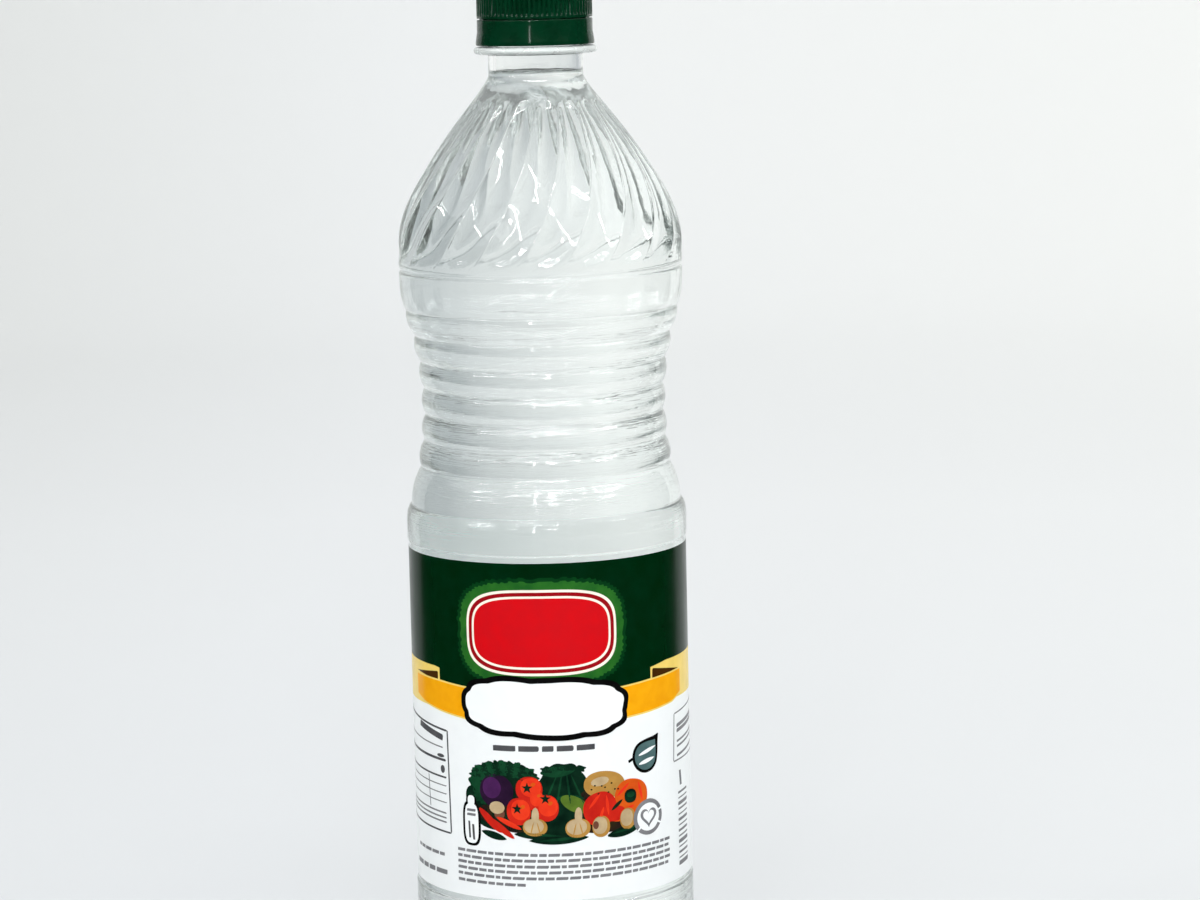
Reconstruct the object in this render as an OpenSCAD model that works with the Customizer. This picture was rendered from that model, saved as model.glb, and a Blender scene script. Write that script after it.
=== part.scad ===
// One-litre vinegar bottle: clear blown body with a swirl-fluted shoulder and a
// ringed waist, wrap-around film label, screw cap and tamper band, filled with vinegar.
// Millimetres, +Z up, origin at the middle of the foot, front towards -Y.

/* [Body] */
// Outer diameter of the label panel, under the label
panel_d = 75.2; // [60:0.2:95]
// How far the rolls above and below the label stand out from the panel
roll_out = 0.4; // [0.2:0.05:1]
// Height of the plain bottom, from the foot to the lower roll's top edge
bottom_h = 45.5; // [30:0.5:60]
// Height of the plain roll between the label panel and the waist
upper_roll_h = 9.8; // [7:0.1:14]
// Wall of the blown body, measured level
wall = 0.5; // [0.3:0.05:1]
// Radius of the heel, where the side turns under
heel_r = 8; // [5:0.5:12]
// Width of the flat ring that the bottle stands on
foot_w = 3; // [2:0.5:6]
// How far the middle of the base is pushed up
push_up_h = 10; // [5:0.5:16]

/* [Waist] */
// Outer diameter over the rings at the narrowest place
waist_d = 66; // [52:0.2:84]
// Radius of the long hollow curve that the rings follow
waist_curve_r = 80; // [60:1:120]
// Number of rings
ring_count = 7; // [4:1:9]
// Height of the lowest ring
first_ring_h = 10.2; // [7:0.2:13]
// Height of each other ring
ring_h = 7.1; // [5:0.1:9]
// Depth of the grooves between the rings
ring_depth = 1.1; // [0.5:0.1:1.6]

/* [Bulge and shoulder] */
// Outer diameter of the bulge above the waist
bulge_d = 76.3; // [62:0.2:96]
// Height from the last waist groove to the widest place of the bulge
bulge_turn_h = 9; // [6:0.5:14]
// Height of the straight side of the bulge
bulge_side_h = 8; // [6:0.5:14]
// Depth of the crease low on the bulge's side
crease_depth = 0.5; // [0.2:0.1:1]
// Height of the shoulder, from the bulge's side to the foot of the neck
shoulder_h = 45.3; // [34:0.1:60]
// How long the shoulder keeps the bulge's fullness, as the curve's lower handle
shoulder_fullness = 17.6; // [10:0.2:24]
// How long the shoulder keeps the neck's slimness, as the curve's upper handle
neck_slimness = 4.2; // [2:0.2:8]

/* [Flutes] */
// Number of flutes round the shoulder
flute_count = 20; // [12:1:30]
// Depth of a flute at its middle
flute_depth = 1.3; // [0.5:0.1:2.2]
// How far the flutes turn round the bottle from their top to their foot, in degrees
flute_turn = 28.4; // [0:0.5:60]

/* [Neck] */
// Bore of the neck
bore_d = 21.7; // [16:0.1:28]
// Wall of the neck below the support ring
neck_wall = 1.8; // [1.2:0.1:2.6]
// Height of the plain neck below the support ring
neck_h = 5.4; // [3:0.2:10]
// How far the support ring stands out from the neck
support_out = 3.85; // [2:0.05:6]
// Thickness of the support ring
support_t = 1.9; // [1.2:0.1:3]
// Wall of the neck above the support ring
finish_wall = 1.4; // [1:0.1:2.2]
// Height of the neck above the support ring, up to its sealing edge
finish_h = 19.1; // [15:0.1:24]

/* [Cap and tamper band] */
// Room between the neck and the cap's skirt
thread_room = 1.45; // [1:0.05:2]
// Thickness of the cap's top and of its skirt
cap_t = 1.5; // [1:0.1:2]
// Radius of the cap's rounded top edge
cap_edge_r = 2; // [1:0.1:3]
// Number of grip grooves round the cap
grip_count = 72; // [36:1:100]
// Radius of one grip groove
grip_r = 0.42; // [0.3:0.02:0.6]
// Height of the tamper band
band_h = 6.8; // [4:0.1:8.4]
// How far the band flares out beyond the cap at its foot
band_flare = 0.4; // [0:0.1:1]
// Thickness of the tamper band
band_t = 1.1; // [0.8:0.1:1.6]
// Height of the cut between the band and the cap
cut_h = 0.35; // [0.2:0.05:0.6]
// Number of bridges across the cut
bridge_count = 8; // [4:1:16]
// Width of one bridge
bridge_w = 2.2; // [1:0.1:3]
// Room between the tamper band and the support ring
band_gap = 0.4; // [0.2:0.1:0.8]

/* [Label] */
// Height of the label
label_h = 90.8; // [60:0.2:120]
// Room between the label's edges and the rolls
label_room = 1.5; // [0.5:0.1:4]
// Thickness of the label film
label_t = 0.1; // [0.05:0.05:0.3]

/* [Contents] */
// Height of the vinegar's surface above the foot of the neck
level_h = 0.5; // [0:0.1:4]
// Room between the vinegar and the wall
fill_gap = 0.05; // [0.02:0.01:0.2]

/* [Hidden] */
$fn = 96;

panel_r = panel_d / 2;
roll_r = panel_r + roll_out;
waist_r = waist_d / 2;
bulge_r = bulge_d / 2;
bore_r = bore_d / 2;
neck_r = bore_r + neck_wall;
support_r = neck_r + support_out;
roll_edge = 0.5;
crease_h = 0.8;
step = 0.25;
finish_bore_r = bore_r + step;
finish_r = finish_bore_r + finish_wall;
cap_r = finish_r + thread_room + cap_t;
shoulder_steps = 11;
samples_per_flute = 5;
side_count = flute_count * samples_per_flute;

// Heights of the body's stations, from the foot up
z_label = bottom_h + label_room;
z_upper_roll = z_label + label_h + label_room;
z_waist = z_upper_roll + upper_roll_h;
z_bulge = z_waist + first_ring_h + (ring_count - 1) * ring_h;
z_side = z_bulge + bulge_turn_h;
z_crease_top = z_side + 1 + crease_h;
z_flutes = z_crease_top + crease_h;
z_shoulder = z_side + bulge_side_h;
z_neck = z_shoulder + shoulder_h;
z_support = z_neck + neck_h;
z_support_top = z_support + support_t;
z_seal = z_support_top + finish_h;
z_level = z_neck + level_h;

// Smooth step from 0 to 1, flat at both ends
function ease(x) = let (k = min(1, max(0, x))) k * k * (3 - 2 * k);

// Point at t on the cubic curve through four heights or radii
function cubic(t, a, b, c, d) =
    pow(1 - t, 3) * a + 3 * pow(1 - t, 2) * t * b + 3 * (1 - t) * t * t * c + pow(t, 3) * d;

// Points of an arc, each as [radius, height], from angle a0 to angle a1
function arc(centre, r, a0, a1, steps) =
    [for (i = [0 : steps]) let (a = a0 + (a1 - a0) * i / steps) centre + r * [cos(a), sin(a)]];

function moved_in(points, by) = [for (p = points) [p[0] - by, p[1]]];
function reversed(points) = [for (i = [len(points) - 1 : -1 : 0]) points[i]];

// Outline of the foot and heel for a wall that lies the given distance inside the surface
function heel(inset) =
    let (centre = [roll_r - heel_r, heel_r])
    arc(centre, heel_r - inset, -90, 0, 10);

// Underside: an arc that rises from the standing ring to the pushed-up middle
function push_up(lift) =
    let (w = roll_r - heel_r - foot_w,
         r = (w * w + push_up_h * push_up_h) / (2 * push_up_h),
         reach = asin(w / r))
    [for (i = [0 : 8]) let (a = reach * i / 8) [r * sin(a), push_up_h + lift - r * (1 - cos(a))]];

// Side from the heel through the label panel to the waist
panel_side = [
    [roll_r, bottom_h - roll_edge],
    [panel_r, bottom_h],
    [panel_r, z_upper_roll],
    [roll_r, z_upper_roll + roll_edge],
    [roll_r, z_waist - upper_roll_h * 0.45],
];

// Radius of the hollow curve over the rings' crowns at height z
z_narrow = (z_waist + z_bulge) / 2;
function crown_r(z) = waist_r + waist_curve_r - sqrt(pow(waist_curve_r, 2) - pow(z - z_narrow, 2));

// Rings: each one swells from one groove to the next as half a sine wave
function ring_start(i) = z_waist + (i == 0 ? 0 : first_ring_h + (i - 1) * ring_h);
ring_side = [
    for (i = [0 : ring_count - 1])
        for (k = [0 : 5])
            let (h = i == 0 ? first_ring_h : ring_h, z = ring_start(i) + h * k / 6)
            [crown_r(z) - ring_depth * (1 - sin(180 * k / 6)), z]
];

// Underside and side of the bulge, down into the crease below the flutes
groove_r = crown_r(z_bulge) - ring_depth;
bulge_side = concat(
    [for (k = [0 : 6]) let (a = 90 * k / 6)
        [groove_r + (bulge_r - groove_r) * sin(a), z_bulge + bulge_turn_h * (1 - cos(a))]],
    [for (k = [0 : 3]) let (a = 90 * k / 3)
        [bulge_r - crease_depth * (1 - cos(a)), z_crease_top - crease_h * (1 - sin(a))]]
);

// Roll between the label panel and the waist turns in to the first groove
roll_turn = [for (k = [1 : 4]) let (a = 90 * k / 5, low = z_waist - upper_roll_h * 0.45)
    [roll_r - (roll_r - crown_r(z_waist) + ring_depth) * (1 - cos(a)), low + (z_waist - low) * sin(a)]];

side = concat(panel_side, roll_turn, ring_side, bulge_side);

// Shoulder curve, from 0 at the bulge's side to 1 at the foot of the neck
function shoulder_r(t) = cubic(t, bulge_r, bulge_r, neck_r, neck_r);
function shoulder_z(t) =
    cubic(t, z_shoulder, z_shoulder + shoulder_fullness, z_neck - neck_slimness, z_neck);
// The wall thickens from the blown shoulder to the moulded neck
function wall_at(t) = wall + (neck_wall - wall) * ease((t - 0.75) / 0.25);

// Fluted zone, from 0 on the bulge's side to 1 high on the shoulder
side_share = 0.12;
flutes_end_t = 0.86;
function zone_t(v) = max(0, (v - side_share) / (1 - side_share)) * flutes_end_t;
function zone_z(v) =
    v < side_share ? z_flutes + (z_shoulder - z_flutes) * v / side_share : shoulder_z(zone_t(v));
// A flute's cut fades in above its foot and out below its top
function flute_fade(v) = ease((v - 0.04) / 0.2) * ease((0.93 - v) / 0.16);
// The flutes run nearly straight at the top and curve round towards their feet
function flute_angle(v) = -90 - flute_turn * pow(1 - min(1, v), 1.7);

// Levels of the faceted shoulder, each as [height, outer radius, wall, flute depth, angle]:
// the crease, then the fluted zone, the plain shoulder above it and the neck.
// Where the shoulder meets a turned piece its wall is thicker by the step on both faces.
levels = concat(
    [[z_crease_top, bulge_r - crease_depth + step, wall + 2 * step, 0, flute_angle(0)]],
    [for (i = [0 : shoulder_steps])
        let (v = i / shoulder_steps, t = zone_t(v))
        [zone_z(v), shoulder_r(t), wall_at(t), flute_depth * flute_fade(v), flute_angle(v)]],
    [for (t = [(1 + flutes_end_t) / 2, 1])
        [shoulder_z(t), shoulder_r(t), wall_at(t), 0, flute_angle(1)]]
);
neck_level = [z_support, neck_r, neck_wall, 0, flute_angle(1)];
fill_level = [z_level, neck_r, neck_wall, 0, flute_angle(1)];

// One level's ring of points; a flute is half a sine wave between two ridges
function ring_points(level, inset) = [
    for (j = [0 : side_count - 1])
        let (w = (j % samples_per_flute) / samples_per_flute,
             r = level[1] - level[3] * sin(180 * w) - inset,
             a = level[4] + 360 * j / side_count)
        [r * cos(a), r * sin(a), level[0]]
];

// Two triangles for each cell of the side between one ring and the next, facing out or in
function side_faces(first, bands, outward) = [
    for (i = [0 : bands - 1])
        for (j = [0 : side_count - 1])
            let (a = first + i * side_count + j,
                 b = first + i * side_count + (j + 1) % side_count,
                 c = b + side_count,
                 d = a + side_count)
            each outward ? [[a, c, b], [a, d, c]] : [[a, b, c], [a, c, d]]
];

// Contents of the shoulder: solid, the given distance inside the wall
module shoulder_contents(extra) {
    rings = concat(levels, [fill_level]);
    bands = len(rings) - 1;
    last = bands * side_count;
    points = [for (level = rings) each ring_points(level, level[2] + extra)];
    foot = [for (j = [0 : side_count - 1]) j];
    top = [for (j = [side_count - 1 : -1 : 0]) last + j];
    polyhedron(points, concat([foot], side_faces(0, bands, true), [top]));
}

// Shoulder and neck as a shell of the body's wall, open at both ends
module shoulder_shell() {
    rings = concat(levels, [neck_level]);
    bands = len(rings) - 1;
    count = len(rings) * side_count;
    last = bands * side_count;
    points = concat(
        [for (level = rings) each ring_points(level, 0)],
        [for (level = rings) each ring_points(level, level[2])]
    );
    rims = [for (j = [0 : side_count - 1]) let (k = (j + 1) % side_count)
        each [
            [j, k, count + k], [j, count + k, count + j],
            [last + j, count + last + k, last + k], [last + j, count + last + j, count + last + k],
        ]];
    polyhedron(points, concat(side_faces(0, bands, true), side_faces(count, bands, false), rims));
}

// Blown body with the neck finish: foot, label panel, rings, bulge, fluted shoulder, support ring
module bottle() {
    lip = 0.4;
    color("lightcyan", 0.5) {
        rotate_extrude()
            polygon(concat(
                push_up(0), heel(0), side,
                reversed(moved_in(side, wall)), reversed(heel(wall)), reversed(push_up(wall))
            ));
        shoulder_shell();
        rotate_extrude()
            polygon([
                [support_r - lip, z_support],
                [support_r, z_support + lip],
                [support_r, z_support_top - lip],
                [support_r - lip, z_support_top],
                [finish_r, z_support_top],
                [finish_r, z_seal - lip],
                [finish_r - lip, z_seal],
                [finish_bore_r, z_seal],
                [finish_bore_r, z_support],
            ]);
    }
}

// Vinegar, filling the inside up to its level in the foot of the neck
module vinegar() {
    inset = wall + fill_gap;
    color("azure", 0.4) {
        rotate_extrude()
            polygon(concat(
                push_up(inset), heel(inset), moved_in(side, inset), [[0, z_crease_top]]
            ));
        shoulder_contents(fill_gap);
    }
}

// Film label wrapped once round the panel between the two rolls
module label() {
    color("darkgreen")
        translate([0, 0, z_label])
            difference() {
                cylinder(h = label_h, r = panel_r + label_t);
                translate([0, 0, -1]) cylinder(h = label_h + 2, r = panel_r);
            }
}

z_band = z_support_top + band_gap;
z_cut = z_band + band_h;
z_cap = z_cut + cut_h;

// Tamper band below the cap, with the bridges that join it to the cap
module tamper_band() {
    root = 0.5;
    color("#003e24") {
        rotate_extrude()
            polygon([
                [cap_r - band_t, z_band],
                [cap_r + band_flare, z_band],
                [cap_r + band_flare, z_band + 1],
                [cap_r, z_cut],
                [cap_r - band_t, z_cut],
            ]);
        for (i = [0 : bridge_count - 1])
            rotate(360 * (i + 0.5) / bridge_count - 90)
                translate([cap_r - band_t * 0.9, -bridge_w / 2, z_cut - root])
                    cube([band_t * 0.7, bridge_w, root + cut_h]);
    }
}

// Screw cap with a grooved grip, closed on the neck's sealing edge
module cap() {
    z_top = z_seal + cap_t;
    bead_h = 0.6;
    color("#004a2c")
        difference() {
            rotate_extrude()
                polygon(concat(
                    [[cap_r - cap_t, z_cap], [cap_r, z_cap]],
                    arc([cap_r - cap_edge_r, z_top - cap_edge_r], cap_edge_r, 0, 90, 6),
                    [[0, z_top], [0, z_seal], [cap_r - cap_t, z_seal]]
                ));
            for (i = [0 : grip_count - 1])
                rotate(360 * i / grip_count)
                    translate([cap_r + grip_r * 0.25, 0, z_cap + bead_h])
                        cylinder(h = z_top - z_cap, r = grip_r, $fn = 16);
        }
}

bottle();
vinegar();
label();
tamper_band();
cap();
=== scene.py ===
"""A one-litre vinegar bottle: clear blown bottle, vinegar, wrap-around label, tamper band and screw cap."""

import math

import bpy
import numpy as np
from mathutils import Matrix, Vector


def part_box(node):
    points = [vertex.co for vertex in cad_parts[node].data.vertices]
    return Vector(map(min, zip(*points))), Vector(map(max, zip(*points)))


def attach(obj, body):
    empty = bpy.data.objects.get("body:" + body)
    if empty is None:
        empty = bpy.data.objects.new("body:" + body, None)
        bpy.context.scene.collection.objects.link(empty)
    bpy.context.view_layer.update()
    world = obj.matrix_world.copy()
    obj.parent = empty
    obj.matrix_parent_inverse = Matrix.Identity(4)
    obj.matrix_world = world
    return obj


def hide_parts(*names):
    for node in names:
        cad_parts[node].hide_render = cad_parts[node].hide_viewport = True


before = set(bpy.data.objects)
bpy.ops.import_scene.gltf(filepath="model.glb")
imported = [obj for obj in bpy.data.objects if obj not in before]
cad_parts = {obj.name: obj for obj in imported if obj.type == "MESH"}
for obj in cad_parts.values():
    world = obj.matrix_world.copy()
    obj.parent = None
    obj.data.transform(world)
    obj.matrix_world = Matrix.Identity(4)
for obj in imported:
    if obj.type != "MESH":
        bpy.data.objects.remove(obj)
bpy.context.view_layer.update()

# ---------------------------------------------------------------------------------------------
# Studio and camera
# A pale floor that curves up into a low round wall, thin strip lamps, cards that only show in
# the reflections and the clear pieces, and a soft room around. The camera stands a metre off, a
# little above the bottle's middle, and looks slightly down.
MM = 0.001


def placed(name, data):
    """Object of a mesh, lamp or camera, linked into the scene."""
    item = bpy.data.objects.new(name, data)
    bpy.context.scene.collection.objects.link(item)
    return item


def surface(name, points, close_ends=False, loop=False, open_sides=False):
    """Mesh of a grid of points in millimetres, rows by columns, whose columns run once round.

    Each cell between two rows becomes a face. With close_ends the first and last rows are
    points on the axis and become one vertex each; with loop the last row joins the first;
    with open_sides the last column stays apart from the first."""
    rows, cols = points.shape[:2]
    row = np.arange(rows if loop else rows - 1)[:, None]
    col = np.arange(cols - 1 if open_sides else cols)[None, :]
    here, beside = row * cols + col, row * cols + (col + 1) % cols
    above = (row + 1) % rows * cols
    cells = np.stack([here, beside, above + (col + 1) % cols, above + col], -1).reshape(-1, 4)
    mesh = bpy.data.meshes.new(name)
    faces = cells.tolist()
    verts = points.reshape(-1, 3)
    if close_ends:
        last, top_row = rows * cols, (rows - 1) * cols
        verts = np.concatenate([verts, [points[0].mean(0), points[-1].mean(0)]])
        a, b = np.arange(cols), np.roll(np.arange(cols), -1)
        foot = np.stack([np.full(cols, last), b, a], -1).tolist()
        top = np.stack([np.full(cols, last + 1), top_row + a, top_row + b], -1).tolist()
        faces = foot + faces + top
    mesh.from_pydata((verts * MM).tolist(), [], faces)
    mesh.shade_smooth()
    return placed(name, mesh)


def turned(radius, height, angles):
    """Points of a profile turned round the axis: each row has one radius and one height."""
    x = radius[:, None] * np.cos(angles)
    y = radius[:, None] * np.sin(angles)
    return np.stack([x, y, np.broadcast_to(height[:, None], x.shape)], -1)


def new_material(name):
    """A material with a Principled shader, and its node tree."""
    material = bpy.data.materials.new(name)
    material.use_nodes = True
    return material, material.node_tree, material.node_tree.nodes["Principled BSDF"]


def noise(tree, scale, detail=3.0, stretch=(1, 1, 1)):
    """Noise texture over the object's own coordinates, stretched along the axes."""
    where = tree.nodes.new("ShaderNodeTexCoord")
    shaped = tree.nodes.new("ShaderNodeMapping")
    shaped.inputs["Scale"].default_value = stretch
    cloud = tree.nodes.new("ShaderNodeTexNoise")
    cloud.inputs["Scale"].default_value = scale
    cloud.inputs["Detail"].default_value = detail
    tree.links.new(where.outputs["Object"], shaped.inputs["Vector"])
    tree.links.new(shaped.outputs["Vector"], cloud.inputs["Vector"])
    return cloud.outputs["Fac"]


def spread(tree, source, start, end, low=0.0, high=1.0):
    """Value that goes from low to high as the source goes from start to end."""
    span = tree.nodes.new("ShaderNodeMapRange")
    span.inputs["From Min"].default_value = start
    span.inputs["From Max"].default_value = end
    span.inputs["To Min"].default_value = low
    span.inputs["To Max"].default_value = high
    tree.links.new(source, span.inputs["Value"])
    return span.outputs["Result"]


def between(tree, factor, low, high):
    """Value that goes from low to high as the factor goes from 0.3 to 0.7."""
    return spread(tree, factor, 0.3, 0.7, low, high)


def place_along(tree, axis):
    """The object's own coordinate along one axis, in metres."""
    where = tree.nodes.new("ShaderNodeTexCoord")
    parts = tree.nodes.new("ShaderNodeSeparateXYZ")
    tree.links.new(where.outputs["Object"], parts.inputs["Vector"])
    return parts.outputs[axis]


def tinted(tree, factor, low, high):
    """Colour that goes from low to high as the factor goes from 0.3 to 0.7."""
    ramp = tree.nodes.new("ShaderNodeValToRGB")
    ramp.color_ramp.elements[0].position = 0.3
    ramp.color_ramp.elements[0].color = (*low, 1)
    ramp.color_ramp.elements[1].position = 0.7
    ramp.color_ramp.elements[1].color = (*high, 1)
    tree.links.new(factor, ramp.inputs["Fac"])
    return ramp.outputs["Color"]


def bumped(tree, shader, factor, strength, depth):
    """Relief on the shader's normal from a factor, depth in metres."""
    bump = tree.nodes.new("ShaderNodeBump")
    bump.inputs["Strength"].default_value = strength
    bump.inputs["Distance"].default_value = depth
    tree.links.new(factor, bump.inputs["Height"])
    tree.links.new(bump.outputs["Normal"], shader.inputs["Normal"])


def rgb(red, green, blue):
    """Linear colour from screen values of 0 to 255."""
    c = np.array([red, green, blue]) / 255
    return tuple(np.where(c <= 0.04045, c / 12.92, ((c + 0.055) / 1.055) ** 2.4).tolist())


floor_flat_r = 1700
wall_curve_r = 500
wall_top = 1000
below_foot = 0.05
turn = np.linspace(0, math.pi / 2, 14)
rise = wall_curve_r * (1 - np.cos(turn))
reach = floor_flat_r + wall_curve_r * np.sin(turn)
floor_r = np.concatenate([[20, 200, 600, 1100], reach, [floor_flat_r + wall_curve_r]])
floor_z = np.concatenate([[0, 0, 0, 0], rise, [wall_top]]) - below_foot
floor_angles = np.linspace(0, -2 * math.pi, 96, endpoint=False)
floor = surface("studio_floor", turned(floor_r, floor_z, floor_angles))
centre_points = turned(np.array([1.0, 20.5]), np.full(2, -below_foot), floor_angles)
floor_centre = surface("studio_floor_centre", centre_points)
material, tree, shader = new_material("studio paper")
where = tree.nodes.new("ShaderNodeTexCoord")
away = tree.nodes.new("ShaderNodeVectorMath")
away.operation = "LENGTH"
tree.links.new(where.outputs["Object"], away.inputs[0])
sheet = tree.nodes.new("ShaderNodeMix")
sheet.data_type = "RGBA"
sheet.blend_type = "MULTIPLY"
sheet.inputs["Factor"].default_value = 1
# Painted shade: the paper's colour is greyer on the left and near the bottle, and whiter on the right and
# far away, a fall of light painted into the paper
colour_slots = [slot for slot in sheet.inputs if slot.type == "RGBA"]
painted_shade_across = ((0.835, 0.84, 0.835), (0.945, 0.95, 0.96), (1, 1, 0.99))
painted_shade_away = ((0.725, 0.735, 0.745), (0.86, 0.865, 0.87), (0.98, 0.98, 0.975))
for slot, source, start, end, tones in (
    (0, place_along(tree, "X"), -0.5, 0.6, painted_shade_across),
    (1, away.outputs["Value"], 0.2, 2.2, painted_shade_away),
):
    ramp = tree.nodes.new("ShaderNodeValToRGB")
    ramp.color_ramp.elements[0].color = (*tones[0], 1)
    ramp.color_ramp.elements.new(0.36).color = (*tones[1], 1)
    ramp.color_ramp.elements[2].color = (*tones[2], 1)
    tree.links.new(spread(tree, source, start, end), ramp.inputs["Fac"])
    tree.links.new(ramp.outputs["Color"], colour_slots[slot])
tree.links.new([o for o in sheet.outputs if o.type == "RGBA"][0], shader.inputs["Base Color"])
shader.inputs["Roughness"].default_value = 0.9
shader.inputs["Specular IOR Level"].default_value = 0.1
floor.data.materials.append(material)
floor_centre.data.materials.append(material)

world = bpy.data.worlds.new("studio room")
bpy.context.scene.world = world
world.use_nodes = True
sky = world.node_tree
glow = sky.nodes["Background"]
aim = sky.nodes.new("ShaderNodeTexCoord")
parts = sky.nodes.new("ShaderNodeSeparateXYZ")
sky.links.new(aim.outputs["Generated"], parts.inputs["Vector"])
dome = sky.nodes.new("ShaderNodeValToRGB")
dome.color_ramp.elements[0].position = 0.0
dome.color_ramp.elements[0].color = (0.75, 0.78, 0.8, 1)
dome.color_ramp.elements[1].position = 1.0
dome.color_ramp.elements[1].color = (0.98, 1.0, 1.0, 1)
sky.links.new(spread(sky, parts.outputs["Z"], -0.1, 0.5), dome.inputs["Fac"])
sky.links.new(dome.outputs["Color"], glow.inputs["Color"])
glow.inputs["Strength"].default_value = 0.96


def card(name, from_degrees, to_degrees, radius, foot, height, right_tint, left_tint, in_gloss, in_clear):
    """Curved studio card round the bottle: a floor part from foot to radius and an upright part.

    Degrees run from the front round by the right, and the tint goes from the right one to the
    left one across the middle. A card is seen only in reflections, or only through the clear
    pieces. The camera, shadows and rough surfaces do not see it."""
    rim = np.radians(np.linspace(from_degrees, to_degrees, 60)) - math.pi / 2
    reach = np.array([foot, (foot + radius) / 2, radius - 60, radius, radius])
    rise = np.array([2.0, 2.0, 2.0, 40.0, height])
    piece = surface(name, turned(reach, rise, rim), open_sides=True)
    paint = bpy.data.materials.new(name)
    paint.use_nodes = True
    tree = paint.node_tree
    nodes, links = tree.nodes, tree.links
    nodes.remove(nodes["Principled BSDF"])
    glow = nodes.new("ShaderNodeEmission")
    where = nodes.new("ShaderNodeTexCoord")
    direction = nodes.new("ShaderNodeVectorMath")
    direction.operation = "NORMALIZE"
    side = nodes.new("ShaderNodeSeparateXYZ")
    links.new(where.outputs["Object"], direction.inputs[0])
    links.new(direction.outputs["Vector"], side.inputs["Vector"])
    leftward = spread(tree, side.outputs["X"], 0.9, -0.7)
    links.new(tinted(tree, leftward, right_tint, left_tint), glow.inputs["Color"])
    links.new(glow.outputs["Emission"], nodes["Material Output"].inputs["Surface"])
    piece.data.materials.append(paint)
    piece.visible_camera = False
    piece.visible_diffuse = False
    piece.visible_shadow = False
    piece.visible_glossy = in_gloss
    piece.visible_transmission = in_clear


dark_card = (0.02, 0.025, 0.022)
card("dark_front_card", -128, 128, 1500, 120, 900, dark_card, dark_card, True, False)
card("low_back_card", 98, 262, 1200, 90, 60, (0.40, 0.44, 0.46), (0.97, 1.0, 0.99), False, True)
card("high_back_card", 98, 262, 1210, 1150, 700, (0.58, 0.62, 0.64), (0.98, 1.0, 0.99), False, True)


def strip_lamp(name, place, size, power):
    """White oblong lamp at a place in metres, facing the bottle, of a width and height in metres."""
    data = bpy.data.lights.new(name, "AREA")
    data.shape = "RECTANGLE"
    data.size, data.size_y = size
    data.energy = power
    lamp = placed(name, data)
    lamp.location = place
    lamp.rotation_mode = "QUATERNION"
    toward = Vector(bottle_middle) - Vector(place)
    lamp.rotation_quaternion = toward.normalized().to_track_quat("-Z", "Y")


bottle_middle = (0, 0, 0.15)
for lamp_name, place, size, power in (
    ("top strip, front", (0.0, -0.5, 0.95), (0.7, 0.02), 1.2),
    ("high strip, front", (0.0, -1.15, 0.86), (1.7, 0.016), 3.0),
    ("top strip, back", (0.0, 0.5, 1.0), (0.8, 0.04), 1.0),
    ("left strip", (-0.8, -0.5, 0.62), (0.5, 0.016), 0.8),
    ("right strip", (0.8, -0.45, 0.62), (0.5, 0.02), 1.2),
    ("small front panel", (0.1, -1.2, 0.72), (0.11, 0.05), 0.9),
    ("left front strip", (-0.22, -1.2, 0.6), (0.012, 0.6), 0.9),
):
    strip_lamp(lamp_name, place, size, power)

camera_away = 0.987
camera_aim_z = 0.16215
camera_pitch = math.radians(8.07)
camera_yaw = math.radians(0.873)
camera_roll = math.radians(-1.278)
data = bpy.data.cameras.new("camera")
camera = placed("camera", data)
bpy.context.scene.camera = camera
data.sensor_width = 36
data.lens = 109.2
data.clip_start = 0.05
data.clip_end = 30

forward = Vector((
    math.sin(camera_yaw) * math.cos(camera_pitch),
    math.cos(camera_yaw) * math.cos(camera_pitch),
    -math.sin(camera_pitch),
))
level_right = Vector((math.cos(camera_yaw), -math.sin(camera_yaw), 0))
level_up = level_right.cross(forward)
right = level_right * math.cos(camera_roll) + level_up * math.sin(camera_roll)
up = level_up * math.cos(camera_roll) - level_right * math.sin(camera_roll)
camera.matrix_world = Matrix.Translation(
    (0, -camera_away * math.cos(camera_pitch), camera_aim_z + camera_away * math.sin(camera_pitch))
) @ Matrix((right, up, -forward)).transposed().to_4x4()
bpy.context.scene.view_settings.view_transform = "Standard"
# Light crosses six clear surfaces and turns inside the wall many times before it is lost
paths = bpy.context.scene.cycles
paths.max_bounces = 40
paths.glossy_bounces = 32
paths.transmission_bounces = 32

# ---------------------------------------------------------------------------------------------
# Bottle
# Clear polyester, blown from a moulded neck: pushed-up base, plain label panel between two
# rolls, a hollow ringed waist, a bulge, and a shoulder with twenty swirling flutes.
panel_r, roll_r = 37.6, 38.0
bottom_h, z_upper_roll, z_waist = 45.5, 139.3, 149.1
heel_r, foot_w, push_up_h = 8.0, 3.0, 10.0
waist_r, waist_curve_r, z_bulge = 33.0, 80.0, 201.9
ring_starts = z_waist + np.array([0, 10.2, 17.3, 24.4, 31.5, 38.6, 45.7])
ring_heights = np.array([10.2, 7.1, 7.1, 7.1, 7.1, 7.1, 7.1])
ring_depth = 1.1
bulge_r, z_crease_top, z_flutes, z_shoulder, z_neck = 38.15, 212.7, 213.5, 218.9, 264.2
neck_r, bore_r, z_support, support_r, support_t = 12.65, 10.85, 269.6, 16.5, 1.9
finish_r, finish_bore_r = 12.5, 11.1
z_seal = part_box("bottle")[1].z / MM
flute_count, flute_depth, flute_turn = 20, 1.3, 28.4
roll_turn_h, bulge_turn_h, crease_depth = 4.41, 9.0, 0.5
side_share, flutes_end_t = 0.12, 0.86
shoulder_fullness, neck_slimness = 17.6, 4.2
film_wall = 0.45
phases = np.array([0, 0.035, 0.09, 0.18, 0.3, 0.43, 0.57, 0.7, 0.82, 0.91, 0.965])
column_phase = np.tile(phases, flute_count)
column_turn = np.repeat(np.arange(flute_count), len(phases)) + column_phase
column_angle = column_turn * 2 * math.pi / flute_count


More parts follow.
